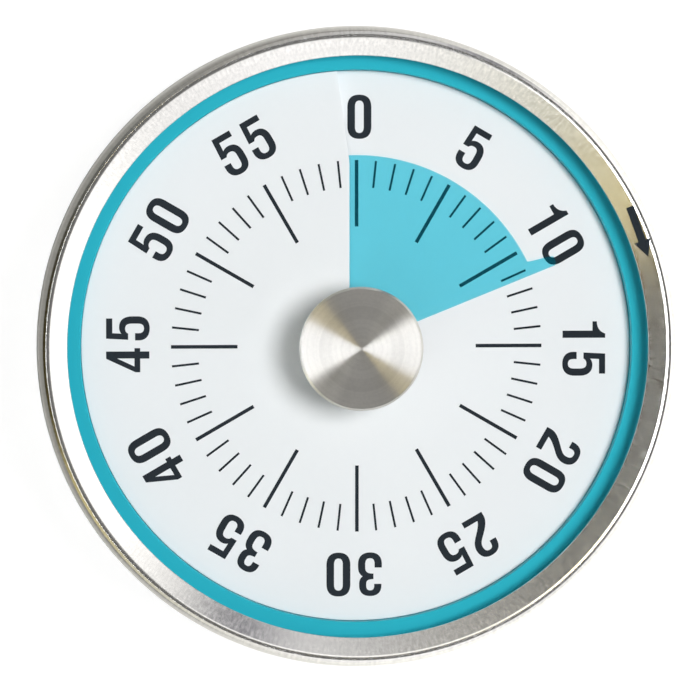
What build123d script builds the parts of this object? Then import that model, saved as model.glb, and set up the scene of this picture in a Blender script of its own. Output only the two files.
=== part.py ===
from build123d import *
import math
import os

# Mechanical 60-minute visual countdown timer, millimetres.
# It lies on its back: +Z comes out through the dial, +Y points at the 0 mark,
# and the origin is the middle of the flat back face.

# --- case -------------------------------------------------------------------
case_radius = 39.0          # widest outer radius of the steel shell
back_taper = 0.7            # the shell is this much smaller at its back edge
case_wall = 0.6             # sheet thickness
knob_proud = 2.2            # the knob stands this far above the rim
shoulder_inset = 1.45       # from the widest place in to the top edge of the rim
shoulder_drop = 5.0         # from the top edge of the rim down to the widest place
bezel_width = 2.25          # sloping bezel, from the rim's top edge inward
bezel_drop = 1.4
crest_round = 0.5

# --- dial -------------------------------------------------------------------
hem_overhang = 0.3          # the bezel's inner edge hides this much of the tray
ring_width = 2.0            # coloured ring between the dial and the tray's wall
ring_rise = 1.3             # top of that ring above the dial's mean face
ring_edge = 0.35            # chamfer along its inner edge
dial_fit = 0.1              # radial clearance of the dial within the ring
dial_depth = 5.3            # mean top face of the dial below the rim
dial_pitch = 1.0            # rise of the screw-shaped dial in one turn
dial_skin = 0.5             # thickness of the dial over the disc pocket
dial_rest = 0.2             # the dial's border is this much thicker
dial_hole_radius = 5.5
number_band = 6.1           # border of the dial that rests on the tray
slit_offset = 0.95          # the slit runs this far left of the centre line
slit_bend_inset = 0.8       # it bends outward just inside the disc's edge
slit_bend_angle = 8.0

# --- time disc --------------------------------------------------------------
disc_thickness = 0.2
disc_gap = 0.15             # clearance of the disc above and below the dial
disc_sweep = 366.0          # the disc overlaps itself a little at the slit
set_angle = 68.0            # time shown, degrees clockwise from the 0 mark
hub_radius = 4.5
hub_rise = 0.3
pointer_clearance = 1.0     # from the pointer's tip to the wall of its pocket
pointer_length = 3.2        # the pointer stands out this far from the disc
pointer_angle = 3.6         # it covers this much of the leading edge
pointer_thickness = 0.14
pointer_root = 0.6          # part of the pointer that lies within the disc

# --- tray -------------------------------------------------------------------
tray_floor = 0.95
tray_wall = 0.8
seat_gap = 0.05             # clearance between parts that are seated together
fit_gap = 0.03              # radial running clearance of pivots
press_gap = 0.01            # radial clearance of parts pressed or riveted together

# --- knob -------------------------------------------------------------------
knob_radius = 7.47
knob_base_radius = 6.7
knob_clearance = 0.45       # between the knob and the disc's hub at 60 minutes
insert_radius = 3.0
insert_cap = 2.2            # metal left above the insert
insert_blind = 0.6          # the insert's own closed end
knob_shoulder = 0.85        # from the widest edge up to the top
knob_chamfer = 0.25
knob_groove_radius = 6.1    # fine turned ring on the face
knob_groove = 0.08

# --- rear cover and magnet ----------------------------------------------------
cover_floor = 1.2
cover_flange = 1.0
cover_plug_depth = 2.6
cover_plug_wall = 1.6
magnet_radius = 15.0
magnet_bore = 6.0
magnet_thickness = 3.0
magnet_recess = 0.1
keeper_thickness = 0.8
post_radius = 2.4
post_inset = 1.0            # from the tray's outer wall in to its posts
post_joint_height = 4.0
screw_radius = 1.0
screw_head_radius = 1.9
screw_head = 1.1
screw_recess = 0.2
cover_screw_length = 8.5
screw_play = 0.6            # room left beyond a screw's end
cover_edge = 0.5
slot_count = 9
slot_spacing = 11.0
slot_width = 1.2
slot_inner = 21.0
slot_outer = 28.0

# --- movement -----------------------------------------------------------------
plate_radius = 24.5
plate_thickness = 1.0
plate_space = 6.4
ear_reach = 3.5             # the ears' screws stand this far outside the plate
ear_length = 8.0
pillar_inset = 3.0
plate_cut_depth = 3.0       # flats at the sides of the plates
plate_cut_width = 26.0
plate_cut_angles = (160.0, 345.0)
pillar_radius = 1.8
rivet_radius = 0.9
pillar_angles = (30.0, 125.0, 260.0)
ear_angles = (90.0, 210.0, 330.0)
arbor_radius = 1.5
arbor_flat = 1.1
main_pivot_radius = 0.8
bush_radius = 2.4
bush_top_gap = 0.2
end_shake = 0.12

great_teeth = 60
great_module = 0.35
second_pinion_teeth = 10
second_teeth = 60
second_module = 0.30
third_pinion_teeth = 8
third_teeth = 64
third_module = 0.25
escape_pinion_teeth = 8
escape_teeth = 15
escape_radius = 5.0
escape_tooth = 1.0

second_bearing = 200.0      # directions from one arbor to the next
third_bearing = 100.0
escape_bearing = 45.0
pallet_bearing = 10.0

great_level = 4.9           # heights above the back plate's upper face
great_thickness = 0.8
second_level = 4.1
third_level = 0.6
wheel_thickness = 0.5
escape_level = 2.9
pinion_overlap = 0.3        # a pinion is this much longer than its wheel, each side
ratchet_teeth = 18
ratchet_radius = 4.2
ratchet_thickness = 0.45
ratchet_depth = 0.6
click_circle = 7.2
click_boss = 1.1
click_stud_radius = 0.5
click_spring_strip = 0.3
click_spring_lead = 75.0    # from the pawl's pivot round to the spring's stud
click_lead = 48.0           # the pawl's pivot is this far round from its beak
cam_radius = 5.5
cam_level = 0.3
cam_thickness = 0.7
cam_notch = 1.6
cam_notch_bearing = 197.0

spring_width = 2.4
spring_level = 1.4
spring_strip = 0.3
spring_inner = 1.9
spring_turn = 0.9           # spacing from turn to turn
spring_turns = 6
spring_eye = 1.2            # outer radius of the eye at the outer end
movement_screw_length = 4.5

pin_radius = 0.25
pin_clearance = 0.08
pallet_span = 30.0          # each pallet pin stands this far from the line of centres
balance_radius = 4.5
balance_thickness = 1.0
balance_bar = 1.4
balance_lobe = 1.3
balance_hub = 1.4
anchor_boss = 1.5
anchor_arm = 1.1
anchor_thickness = 0.6
anchor_gap = 0.2            # between the escape wheel and the anchor
balance_level = 0.8
pallet_arbor_radius = 0.6

# --- bell -----------------------------------------------------------------------
bell_radius = 20.0
bell_depth = 4.5
bell_wall = 0.8
bell_offset = 7.0
bell_post_radius = 2.5
bell_gap = 0.33             # between the bell and the cover's magnet pocket
bell_rim_gap = 0.7          # from the bell's rim to the back plate
hammer_x = 12.1
hammer_y = -7.0
hammer_arbor_radius = 0.9
hammer_head_radius = 1.6
hammer_head_height = 2.0
hammer_bearing = 33.0       # where the head stands, seen from the bell's centre
hammer_gap = 0.3
lever_gap = 0.15
bell_hub = 3.2              # raised middle that takes the screw head
bell_dimple = 1.4
bell_tenon_radius = 1.2
bell_screw_length = 2.4
lever_thickness = 0.6
lever_width = 1.8
lever_boss = 1.8

# --- heights, stacked from the back face to the knob --------------------------------
keeper_bottom = magnet_recess + magnet_thickness
keeper_top = keeper_bottom + keeper_thickness
pocket_roof = keeper_top + cover_floor
bell_bottom = pocket_roof + bell_gap
bell_rim_height = bell_bottom + bell_depth
back_plate_bottom = bell_rim_height + bell_rim_gap
back_plate_top = back_plate_bottom + plate_thickness
front_plate_bottom = back_plate_top + plate_space
front_plate_top = front_plate_bottom + plate_thickness
tray_bottom = front_plate_top
pocket_floor = tray_bottom + tray_floor
disc_lowest = pocket_floor + disc_gap
disc_zero = disc_lowest + dial_pitch * disc_sweep / 360
dial_height = disc_zero - disc_gap + dial_pitch / 2
dial_seat = dial_height - dial_pitch / 2 - dial_skin - dial_rest
crest_height = dial_height + dial_depth
hem_height = crest_height - bezel_drop
widest_height = crest_height - shoulder_drop
overall_depth = crest_height + knob_proud
knob_base_height = disc_zero + dial_pitch + disc_thickness + hub_rise + knob_clearance
widest_edge_height = overall_depth - knob_shoulder
insert_top = overall_depth - insert_cap

# --- radii, from the case inward -----------------------------------------------------
case_back_radius = case_radius - back_taper
crest_radius = case_radius - shoulder_inset
hem_radius = crest_radius - bezel_width
tray_ring_inner = hem_radius + hem_overhang
post_circle = tray_ring_inner + tray_wall - post_inset - post_radius
dial_radius = tray_ring_inner - ring_width
pocket_radius = dial_radius - number_band
tip_radius = pocket_radius - pointer_clearance
disc_radius = tip_radius - pointer_length
slit_bend_radius = disc_radius - slit_bend_inset
ear_circle = plate_radius + ear_reach
pillar_circle = plate_radius - pillar_inset


def at(radius, angle):
    """Point at a radius and a counter-clockwise angle from +X."""
    return (radius * math.cos(math.radians(angle)), radius * math.sin(math.radians(angle)))


def step(start, distance, angle):
    """Point reached from start by a distance in a direction."""
    x, y = at(distance, angle)
    return (start[0] + x, start[1] + y)


def disc(radius, z0, z1, centre=(0, 0)):
    """Upright cylinder between two heights."""
    return Pos(centre[0], centre[1], z0) * Cylinder(
        radius, z1 - z0, align=(Align.CENTER, Align.CENTER, Align.MIN))


def ring(outer, inner, z0, z1, centre=(0, 0)):
    """Upright tube between two heights."""
    return disc(outer, z0, z1, centre) - disc(inner, z0 - 1, z1 + 1, centre)


def turned(points):
    """Body turned about Z from a closed profile of (radius, height) points."""
    return revolve(make_face(Plane.XZ * Polyline(*points, close=True)), Axis.Z)


def slab(outline, z0, z1):
    """Flat piece cut to an outline in plan."""
    return extrude(Pos(0, 0, z0) * outline, amount=z1 - z0)


def save(name, shape):
    """Write one node as a STEP file."""
    if isinstance(shape, list):
        shape = Compound(children=shape)
    shape.label = name
    export_step(shape, f"parts/{name}.step")


# --- screw-shaped sheet -------------------------------------------------------
def screw_sheet(inner, outer, start, end, height, thickness):
    """Sheet between two left-handed helices; angles run clockwise from +Y.

    height is the top or bottom face at angle 0; the sheet lies between it and
    height + thickness.
    """
    sweep = end - start
    rise = dial_pitch * sweep / 360
    base = height + dial_pitch * start / 360
    edges = [Edge.make_helix(dial_pitch, rise, r, lefthand=True) for r in (inner, outer)]
    face = Face.make_surface_from_curves(edges[0], edges[1])
    solid = Solid.extrude(face, Vector(0, 0, thickness))
    return Pos(0, 0, base) * Rot(0, 0, 90 - start) * solid


def slit_side(left, z0, z1):
    """Prism over the plan to one side of the slit, near the 0 mark."""
    reach = dial_radius + 2
    bend = (-slit_offset, slit_bend_radius)
    out = step(bend, reach, 90 + slit_bend_angle)
    side = -reach if left else reach
    outline = make_face(Polyline((-slit_offset, 0), bend, out, (side, out[1]), (side, 0), close=True))
    return slab(outline, z0, z1)


def above_dial(offset, thickness, inner, outer):
    """Four quarter-turn tools that follow the dial's top face at an offset."""
    spare = 16.0
    tools = []
    for quarter in range(4):
        start, end = 90 * quarter, 90 * (quarter + 1)
        start -= spare if quarter == 0 else 0
        end += spare if quarter == 3 else 0
        tool = screw_sheet(inner, outer, start, end, dial_height - dial_pitch / 2 + offset, thickness)
        if quarter == 0:
            tool = tool - slit_side(True, 0, 2 * overall_depth)
        if quarter == 3:
            tool = tool - slit_side(False, 0, 2 * overall_depth)
        tools.append(tool)
    return tools


# --- case ------------------------------------------------------------------------
def shoulder_radius():
    """Radius of the arc from the widest place, where it is upright, to the crest."""
    inward = case_radius - crest_radius
    upward = crest_height - widest_height
    return (inward ** 2 + upward ** 2) / (2 * inward)


def bezel_slope():
    return (crest_height - hem_height) / (crest_radius - hem_radius)


def bezel_underside(radius):
    """Height of the sloping bezel's inner face at a radius."""
    slope = bezel_slope()
    return hem_height + (radius - hem_radius) * slope - case_wall * math.hypot(1, slope)


def make_case_shell():
    rho = shoulder_radius()
    inner_end = hem_radius - 6
    mid_angle = math.asin((crest_height - widest_height) / rho) / 2
    mid = (case_radius - rho + rho * math.cos(mid_angle), widest_height + rho * math.sin(mid_angle))
    low = (case_back_radius, cover_flange)
    wide = (case_radius, widest_height)
    crest = (crest_radius, crest_height)
    below = (case_back_radius, cover_flange - 5)
    inner = (inner_end, crest_height - (crest_radius - inner_end) * bezel_slope())
    bottom = (inner_end, below[1])
    outline = Line(below, low) + Line(low, wide) + ThreePointArc(wide, mid, crest)
    outline += Line(crest, inner) + Line(inner, bottom) + Line(bottom, below)
    solid_section = make_face(outline)
    sharp = solid_section.vertices().sort_by_distance((*crest, 0))[0]
    solid_section = fillet(sharp, crest_round)
    hollow = offset(solid_section, -case_wall, kind=Kind.INTERSECTION)
    wall = solid_section - hollow
    reach = 2 * overall_depth
    keep = Pos(hem_radius + reach / 2, cover_flange + reach / 2) * Rectangle(reach, reach)
    wall = Plane.XZ * (wall & keep)
    return revolve(wall, Axis.Z)


# --- dial, tray and disc ---------------------------------------------------------------
def make_dial_plate():
    blank = ring(dial_radius, dial_hole_radius, dial_seat, dial_height + dial_pitch)
    for tool in above_dial(0, 3.0, 2.0, dial_radius + 2):
        blank -= tool
    for tool in above_dial(-dial_skin, -3.0, 2.0, pocket_radius):
        blank -= tool
    return blank


def make_dial_tray():
    ring_outer = tray_ring_inner + tray_wall
    bush_hole = bush_radius + fit_gap
    ring_inner, ring_top = dial_radius + dial_fit, dial_height + ring_rise
    body = turned([
        (bush_hole, tray_bottom), (ring_outer, tray_bottom),
        (ring_outer, bezel_underside(ring_outer) - seat_gap),
        (tray_ring_inner, bezel_underside(tray_ring_inner) - seat_gap),
        (tray_ring_inner, ring_top), (ring_inner + ring_edge, ring_top),
        (ring_inner, ring_top - ring_edge), (ring_inner, dial_seat), (pocket_radius, dial_seat),
        (pocket_radius, pocket_floor), (bush_hole, pocket_floor)])
    for angle in ear_angles:
        body += disc(post_radius, back_plate_top, tray_bottom + 0.1, at(ear_circle, angle))
        screw_end = back_plate_bottom + movement_screw_length + screw_play
        body -= disc(screw_radius + fit_gap, back_plate_top - 1, screw_end, at(ear_circle, angle))
        post = at(post_circle, angle + 60)
        body += disc(post_radius, post_joint_height, tray_bottom + 0.1, post)
        screw_end = screw_recess + screw_head + cover_screw_length + screw_play
        body -= disc(screw_radius + fit_gap, post_joint_height - 1, screw_end, post)
    return body


def make_time_disc():
    sheet = screw_sheet(hub_radius - 0.4, disc_radius, set_angle - disc_sweep, set_angle,
                        disc_zero, disc_thickness)
    low = disc_zero + dial_pitch * (set_angle - disc_sweep) / 360
    high = disc_zero + dial_pitch * set_angle / 360 + disc_thickness
    hub = disc(hub_radius, low, high + hub_rise)
    hub -= arbor_shape(low - 1, high + 2, fit_gap + 0.02)
    inset = (disc_thickness - pointer_thickness) / 2
    pointer = screw_sheet(disc_radius - pointer_root, tip_radius, set_angle - pointer_angle, set_angle,
                          disc_zero + inset, pointer_thickness)
    return sheet + hub + pointer


# --- knob ---------------------------------------------------------------------------------
def arbor_shape(z0, z1, grow=0.0):
    """Round bar with one flat, as the main arbor has above the tray."""
    bar = disc(arbor_radius + grow, z0, z1)
    flat = Pos(arbor_flat + grow + 5, 0, z0 - 1) * Box(
        10, 10, z1 - z0 + 2, align=(Align.CENTER, Align.CENTER, Align.MIN))
    return bar - flat


def make_knob():
    face_radius = knob_radius - knob_chamfer
    groove = knob_groove_radius
    body = turned([
        (0, knob_base_height), (knob_base_radius, knob_base_height),
        (knob_radius, widest_edge_height), (knob_radius, overall_depth - knob_chamfer),
        (face_radius, overall_depth), (groove + knob_groove, overall_depth),
        (groove, overall_depth - knob_groove), (groove - knob_groove, overall_depth),
        (0, overall_depth)])
    return body - disc(insert_radius, knob_base_height - 1, insert_top)


def make_knob_insert():
    bush = disc(insert_radius, knob_base_height, insert_top)
    return bush - arbor_shape(knob_base_height - 1, insert_top - insert_blind, fit_gap)


# --- gears ------------------------------------------------------------------------------------
def toothed(count, pitch_radius, addendum, dedendum, share, centre, phase, tip_share=0.35):
    """Outline of a wheel; share is the tooth's part of the pitch at the pitch circle."""
    tooth = 360 / count
    points = []
    for i in range(count):
        middle = phase + i * tooth
        for radius, half in (
                (pitch_radius - dedendum, share * 0.62), (pitch_radius, share * 0.5),
                (pitch_radius + addendum, share * tip_share * 0.5)):
            points.append((radius, middle - half * tooth))
        for radius, half in (
                (pitch_radius + addendum, share * tip_share * 0.5), (pitch_radius, share * 0.5),
                (pitch_radius - dedendum, share * 0.62)):
            points.append((radius, middle + half * tooth))
    return make_face(Polyline(*[step(centre, r, a) for r, a in points], close=True))


def wheel(count, module, z, thickness, centre, phase, bore):
    """Brass train wheel with three windows."""
    radius = module * count / 2
    body = slab(toothed(count, radius, module * 0.95, module * 1.15, 0.44, centre, phase), z, z + thickness)
    hub = radius * 0.32
    rim = radius - module * 3.2
    hole = (rim - hub) * 0.42
    for i in range(3):
        body -= disc(hole, z - 1, z + thickness + 1, step(centre, (rim + hub) / 2, phase + 60 + 120 * i))
    return body - disc(bore, z - 1, z + thickness + 1, centre)


def pinion(count, module, z0, z1, centre, phase):
    """Steel pinion with radial flanks."""
    radius = module * count / 2
    tooth = 360 / count
    points = []
    for i in range(count):
        middle = phase + i * tooth
        points += [(radius - module * 1.25, middle - tooth * 0.15), (radius, middle - tooth * 0.15),
                   (radius + module * 0.55, middle - tooth * 0.05),
                   (radius + module * 0.55, middle + tooth * 0.05), (radius, middle + tooth * 0.15),
                   (radius - module * 1.25, middle + tooth * 0.15)]
    outline = make_face(Polyline(*[step(centre, r, a) for r, a in points], close=True))
    return slab(outline, z0, z1)


def arbor(centre, radius, pivot, z0=back_plate_bottom, z1=front_plate_top):
    """Arbor with turned-down pivots in both plates."""
    low, high = back_plate_top + end_shake, front_plate_bottom - end_shake
    return disc(radius, low, high, centre) + disc(pivot, z0, z1, centre)


def centre_distance(module, wheel_teeth, pinion_teeth):
    return module * (wheel_teeth + pinion_teeth) / 2


second_at = step((0, 0), centre_distance(great_module, great_teeth, second_pinion_teeth), second_bearing)
third_at = step(second_at, centre_distance(second_module, second_teeth, third_pinion_teeth), third_bearing)
escape_at = step(third_at, centre_distance(third_module, third_teeth, escape_pinion_teeth), escape_bearing)
pin_circle = escape_radius + pin_radius + pin_clearance
pallet_at = step(escape_at, pin_circle / math.cos(math.radians(pallet_span)), pallet_bearing)
hammer_at = (hammer_x, hammer_y)
bell_at = (0, -bell_offset)

train_pivot = 0.4
train_arbor = 0.75
great_phase = second_bearing
second_phase = third_bearing
third_phase = escape_bearing
great_z = back_plate_top + great_level
second_z = back_plate_top + second_level
third_z = back_plate_top + third_level
escape_z = back_plate_top + escape_level


def pinion_phase(bearing, count):
    """A gap of the pinion faces back along the line of centres."""
    return bearing + 180 + 180 / count


def train_arbor_with_pinion(centre, bearing, count, module, driver_z, driver_thickness):
    z0 = driver_z - pinion_overlap
    z1 = min(driver_z + driver_thickness + pinion_overlap, front_plate_bottom - end_shake)
    leaves = pinion(count, module, z0, z1, centre, pinion_phase(bearing, count))
    thin = min(train_arbor, module * count / 2 - module * 1.3)
    return arbor(centre, thin, train_pivot) + leaves, thin


def make_escape_wheel(bore):
    phase = pallet_bearing + pallet_span - 90 / escape_teeth
    tooth = 360 / escape_teeth
    root = escape_radius - escape_tooth
    points = []
    for i in range(escape_teeth):
        middle = phase + i * tooth
        for radius, share in ((root, -0.3), (escape_radius, -0.05), (escape_radius, 0.05), (root, 0.3)):
            points.append((radius, middle + tooth * share))
    outline = make_face(Polyline(*[step(escape_at, r, a) for r, a in points], close=True))
    body = slab(outline, escape_z, escape_z + wheel_thickness)
    for i in range(3):
        body -= disc(1.0, escape_z - 1, escape_z + 2, step(escape_at, 2.2, 120 * i))
    return body - disc(bore, escape_z - 1, escape_z + 2, escape_at)


def bar_between(a, b, width, z0, z1):
    """Flat link with round ends."""
    ax, ay = a
    bx, by = b
    angle = math.degrees(math.atan2(by - ay, bx - ax))
    length = math.hypot(bx - ax, by - ay)
    body = slab(Pos((ax + bx) / 2, (ay + by) / 2) * Rot(0, 0, angle) * Rectangle(length, width), z0, z1)
    return body + disc(width / 2, z0, z1, a) + disc(width / 2, z0, z1, b)


# --- parts of the movement ---------------------------------------------------------------------
def ratchet_outline():
    pitch = 360 / ratchet_teeth
    root = ratchet_radius - ratchet_depth
    points = []
    for i in range(ratchet_teeth):
        points += [at(ratchet_radius, i * pitch), at(root, i * pitch)]
    return make_face(Polyline(*points, close=True))


def make_click(z0, z1):
    """Pawl on the great wheel; its beak stands in a gap of the ratchet."""
    pitch = 360 / ratchet_teeth
    root = ratchet_radius - ratchet_depth
    beak = 3 * pitch
    pivot = at(click_circle, beak + click_lead)
    tip = [at(root + 0.15, beak + 1.6), at(ratchet_radius + 0.25, beak + 1.2),
           at(click_circle - 0.4, beak + click_lead - 12), pivot,
           at(ratchet_radius + 0.35, beak + pitch * 0.8)]
    body = slab(make_face(Polyline(*tip, close=True)), z0, z1) + disc(click_boss, z0, z1, pivot)
    return body - disc(click_stud_radius + fit_gap, z0 - 1, z1 + 1, pivot), pivot


def make_click_spring(pivot, z0, z1):
    """Leaf that keeps the pawl in the ratchet, on a stud of the great wheel."""
    beak = 3 * 360 / ratchet_teeth
    stud = at(click_circle + 2 * click_spring_strip, beak + click_lead + click_spring_lead)
    leaf_end = at(click_circle + click_boss - click_spring_strip / 2, beak + click_lead + 10)
    leaf = bar_between(stud, leaf_end, click_spring_strip, z0, z1)
    return leaf + disc(2.5 * click_spring_strip, z0, z1, stud)


def make_mainspring():
    """Flat spiral strip; its outer end is an eye round the anchor pin."""
    start = back_plate_top + spring_level
    growth = spring_turn / 2
    strips = []
    for i in range(2 * spring_turns):
        lower = i % 2
        strips.append(Pos(lower * growth, 0) * CenterArc((0, 0), spring_inner + i * growth, lower * 180, 180))
    outline = trace(strips, spring_strip)
    end = (strips[-1] @ 1)
    body = slab(outline, start, start + spring_width)
    eye = (end.X + spring_eye - spring_strip / 2, end.Y)
    body += ring(spring_eye, spring_eye - spring_strip, start, start + spring_width, eye)
    return body, eye


def make_rear_cover():
    pocket = magnet_radius + 2 * seat_gap
    plug = case_back_radius - case_wall - 2 * seat_gap
    plug_top = cover_flange + cover_plug_depth
    roof = pocket_roof
    body = turned([
        (0, keeper_top), (pocket, keeper_top), (pocket, 0), (case_back_radius - cover_edge, 0),
        (case_back_radius, cover_edge), (case_back_radius, cover_flange), (plug, cover_flange),
        (plug, plug_top), (plug - cover_plug_wall, plug_top), (plug - cover_plug_wall, cover_floor),
        (pocket + cover_floor, cover_floor), (pocket + cover_floor, roof), (0, roof)])
    for angle in ear_angles:
        post = at(post_circle, angle + 60)
        body += disc(post_radius, cover_floor - 0.2, post_joint_height, post)
        body -= disc(screw_radius + fit_gap, -1, post_joint_height + 1, post)
        body -= disc(screw_head_radius + 2 * seat_gap, -1, screw_recess + screw_head, post)
    for i in range(slot_count):
        angle = 270 + (i - (slot_count - 1) / 2) * slot_spacing
        a, b = at(slot_inner, angle), at(slot_outer, angle)
        body -= bar_between(a, b, slot_width, -1, cover_floor + 1)
    return body


def screw(head_bottom, shank_length, centre):
    """Pan-head screw driven upwards."""
    top = head_bottom + screw_head
    body = disc(screw_head_radius, head_bottom, top, centre)
    body += disc(screw_radius, top, top + shank_length, centre)
    slot = Pos(centre[0], centre[1], head_bottom) * Box(2 * screw_head_radius + 1, 0.5, 0.8)
    return body - slot


def make_bell():
    low, top = bell_bottom, bell_rim_height
    wall = bell_wall
    floor = low + bell_dimple
    body = turned([
        (screw_radius + fit_gap, floor), (bell_hub, floor), (bell_hub + 1.4, low),
        (bell_radius - 2.6, low), (bell_radius - 0.7, low + 1.1), (bell_radius, low + 2.8),
        (bell_radius, top), (bell_radius - wall, top), (bell_radius - wall, low + 3.0),
        (bell_radius - wall - 0.6, low + 1.7), (bell_radius - wall - 2.0, low + wall),
        (bell_hub + 1.4 + wall / 2, low + wall), (bell_hub + wall / 2, floor + wall),
        (screw_radius + fit_gap, floor + wall)])
    return Pos(*bell_at, 0) * body


def plate_outline(ears):
    outline = Circle(plate_radius)
    for angle in plate_cut_angles:
        x, y = at(1.5 * plate_radius - plate_cut_depth, angle)
        outline -= Pos(x, y) * Rot(0, 0, angle) * Rectangle(plate_radius, plate_cut_width)
    if ears:
        for angle in ear_angles:
            x, y = at(ear_circle - ear_length / 2, angle)
            ear_x, ear_y = at(ear_circle, angle)
            outline += Pos(x, y) * Rot(0, 0, angle) * Rectangle(ear_length, 2 * post_radius)
            outline += Pos(ear_x, ear_y) * Circle(post_radius)
    return outline


def make_plate(z, holes, ears):
    body = slab(plate_outline(ears), z, z + plate_thickness)
    for centre, radius in holes:
        body -= disc(radius, z - 1, z + plate_thickness + 1, centre)
    return body


def cam_outline():
    """Round cam with one notch that lets the hammer fall at zero."""
    outline = Circle(cam_radius)
    x, y = at(cam_radius, cam_notch_bearing)
    return outline - Pos(x, y) * Rot(0, 0, cam_notch_bearing) * Rectangle(2 * cam_notch, cam_notch)


def lever_nose():
    """End of the hammer lever, on the line that just clears the cam."""
    x, y = hammer_at
    reach = math.hypot(x, y)
    clear = cam_radius + lever_width / 2 + lever_gap
    swing = math.degrees(math.asin(clear / reach))
    towards = math.degrees(math.atan2(-y, -x))
    return step(hammer_at, math.sqrt(reach ** 2 - clear ** 2), towards + swing)


# --- write the nodes --------------------------------------------------------------------------
os.makedirs("parts", exist_ok=True)

save("case_shell", make_case_shell())
save("dial_plate", make_dial_plate())
save("dial_tray", make_dial_tray())
save("time_disc", make_time_disc())
save("knob", make_knob())
save("knob_insert", make_knob_insert())

save("rear_cover", make_rear_cover())
save("magnet_ring", ring(magnet_radius, magnet_bore, magnet_recess, keeper_bottom))
save("magnet_keeper", disc(magnet_radius, keeper_bottom, keeper_top))
save("cover_screws", [screw(screw_recess, cover_screw_length, at(post_circle, a + 60)) for a in ear_angles])
save("movement_screws", [
    screw(back_plate_bottom - screw_head, movement_screw_length, at(ear_circle, a)) for a in ear_angles])

# arbors of the train
second_arbor, second_bore = train_arbor_with_pinion(
    second_at, second_bearing, second_pinion_teeth, great_module, great_z, great_thickness)
third_arbor, third_bore = train_arbor_with_pinion(
    third_at, third_bearing, third_pinion_teeth, second_module, second_z, wheel_thickness)
escape_arbor, escape_bore = train_arbor_with_pinion(
    escape_at, escape_bearing, escape_pinion_teeth, third_module, third_z, wheel_thickness)
save("second_arbor", second_arbor)
save("third_arbor", third_arbor)
save("escape_arbor", escape_arbor)
save("second_wheel", wheel(second_teeth, second_module, second_z, wheel_thickness,
                           second_at, second_phase, second_bore + press_gap))
save("third_wheel", wheel(third_teeth, third_module, third_z, wheel_thickness,
                          third_at, third_phase, third_bore + press_gap))
save("escape_wheel", make_escape_wheel(escape_bore + press_gap))

# main arbor and what turns with it
arbor_low = back_plate_top + end_shake
bush_top = pocket_floor - bush_top_gap
arbor_top = insert_top - insert_blind - seat_gap
main_arbor = disc(main_pivot_radius, back_plate_bottom, arbor_low)
main_arbor += disc(arbor_radius, arbor_low, bush_top) + arbor_shape(bush_top, arbor_top)
save("main_arbor", main_arbor)
save("great_wheel", wheel(great_teeth, great_module, great_z, great_thickness,
                          (0, 0), great_phase, arbor_radius + press_gap))
ratchet_z = great_z + great_thickness
ratchet_top = ratchet_z + ratchet_thickness
ratchet = slab(ratchet_outline(), ratchet_z, ratchet_top)
save("ratchet_wheel", ratchet - disc(arbor_radius + press_gap, ratchet_z - 1, ratchet_top + 1))
click, click_pivot = make_click(ratchet_z, ratchet_top)
save("click", click)
save("click_stud", disc(click_stud_radius, great_z + great_thickness, ratchet_top, click_pivot))
save("click_spring", make_click_spring(click_pivot, ratchet_z, ratchet_top))
cam_z = back_plate_top + cam_level
cam = slab(cam_outline(), cam_z, cam_z + cam_thickness)
save("signal_cam", cam - disc(arbor_radius + press_gap, cam_z - 1, cam_z + cam_thickness + 1))

# balance
anchor_z = escape_z + wheel_thickness + anchor_gap
anchor_top = anchor_z + anchor_thickness
pins = [step(escape_at, pin_circle, pallet_bearing + s * pallet_span) for s in (-1, 1)]
anchor = disc(anchor_boss, anchor_z, anchor_top, pallet_at)
for pin in pins:
    anchor += bar_between(pallet_at, pin, anchor_arm, anchor_z, anchor_top)
pallet_bore = pallet_arbor_radius + press_gap
anchor -= disc(pallet_bore, anchor_z - 1, anchor_top + 1, pallet_at)
save("pallet_anchor", anchor)
save("pallet_pins", [disc(pin_radius, escape_z - anchor_gap / 2, anchor_z, pin) for pin in pins])
save("pallet_arbor", arbor(pallet_at, pallet_arbor_radius, train_pivot))
balance_z = back_plate_top + balance_level
balance_top = balance_z + balance_thickness
lobes = [step(pallet_at, balance_radius - balance_lobe, pallet_bearing + 90 + side) for side in (0, 180)]
balance = bar_between(*lobes, balance_bar, balance_z, balance_top)
for lobe in lobes:
    balance += disc(balance_lobe, balance_z, balance_top, lobe)
balance += disc(balance_hub, balance_z, balance_top, pallet_at)
save("balance_weight", balance - disc(pallet_bore, balance_z - 1, balance_top + 1, pallet_at))

# bell and hammer
save("bell", make_bell())
bell_floor_top = bell_bottom + bell_dimple + bell_wall
bell_post = disc(bell_post_radius, bell_floor_top, back_plate_bottom, bell_at)
bell_post += disc(bell_tenon_radius, back_plate_bottom, back_plate_top, bell_at)
bell_post -= disc(screw_radius + fit_gap, bell_floor_top - 1, bell_floor_top + bell_screw_length, bell_at)
save("bell_post", bell_post)
save("bell_screw", screw(bell_bottom + bell_dimple - screw_head, bell_screw_length - 0.3, bell_at))

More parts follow.
